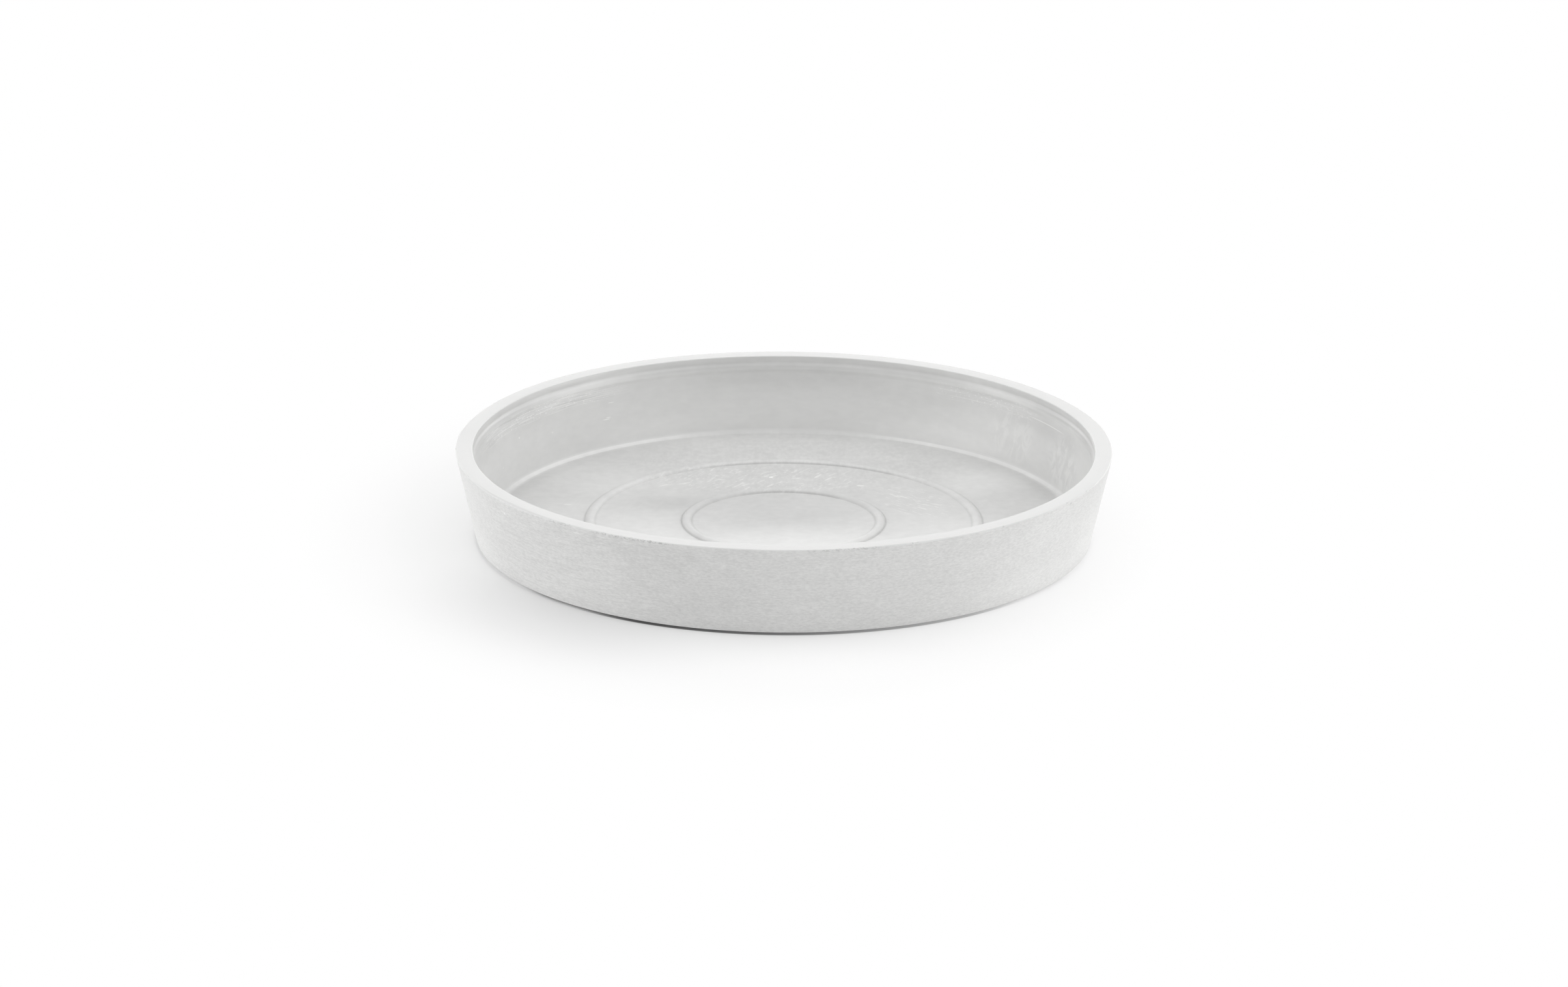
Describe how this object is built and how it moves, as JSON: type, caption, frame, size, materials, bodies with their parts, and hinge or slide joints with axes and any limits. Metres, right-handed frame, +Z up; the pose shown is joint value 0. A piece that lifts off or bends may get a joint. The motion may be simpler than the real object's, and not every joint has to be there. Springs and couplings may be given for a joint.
{
  "type": "plant saucer",
  "caption": "Round plant saucer with a flat rim, tapered wall, raised floor rings and anti-slip pads bonded into recesses under its foot.",
  "frame": {"origin": "on the ground under the centre of the dish, in the plane of the pads' undersides", "axes": "+Z up along the dish's axis; -Y is the side that faces the viewer, and a pad lies midway between each pair of horizontal axes"},
  "size_m": [0.2998, 0.2998, 0.042],
  "materials": {
    "body_plastic": "white-grey mineral-filled plastic, finely brushed outside, semi-matt inside",
    "pad_rubber": "matt",
    "pad_adhesive": "pale adhesive foam"
  },
  "bodies": {
    "root": {"saucer_body": "body_plastic", "pad_front_left": "pad_rubber", "pad_front_right": "pad_rubber", "pad_back_left": "pad_rubber", "pad_back_right": "pad_rubber", "pad_adhesive_front_left": "pad_adhesive", "pad_adhesive_front_right": "pad_adhesive", "pad_adhesive_back_left": "pad_adhesive", "pad_adhesive_back_right": "pad_adhesive"}
  },
  "joints": []
}
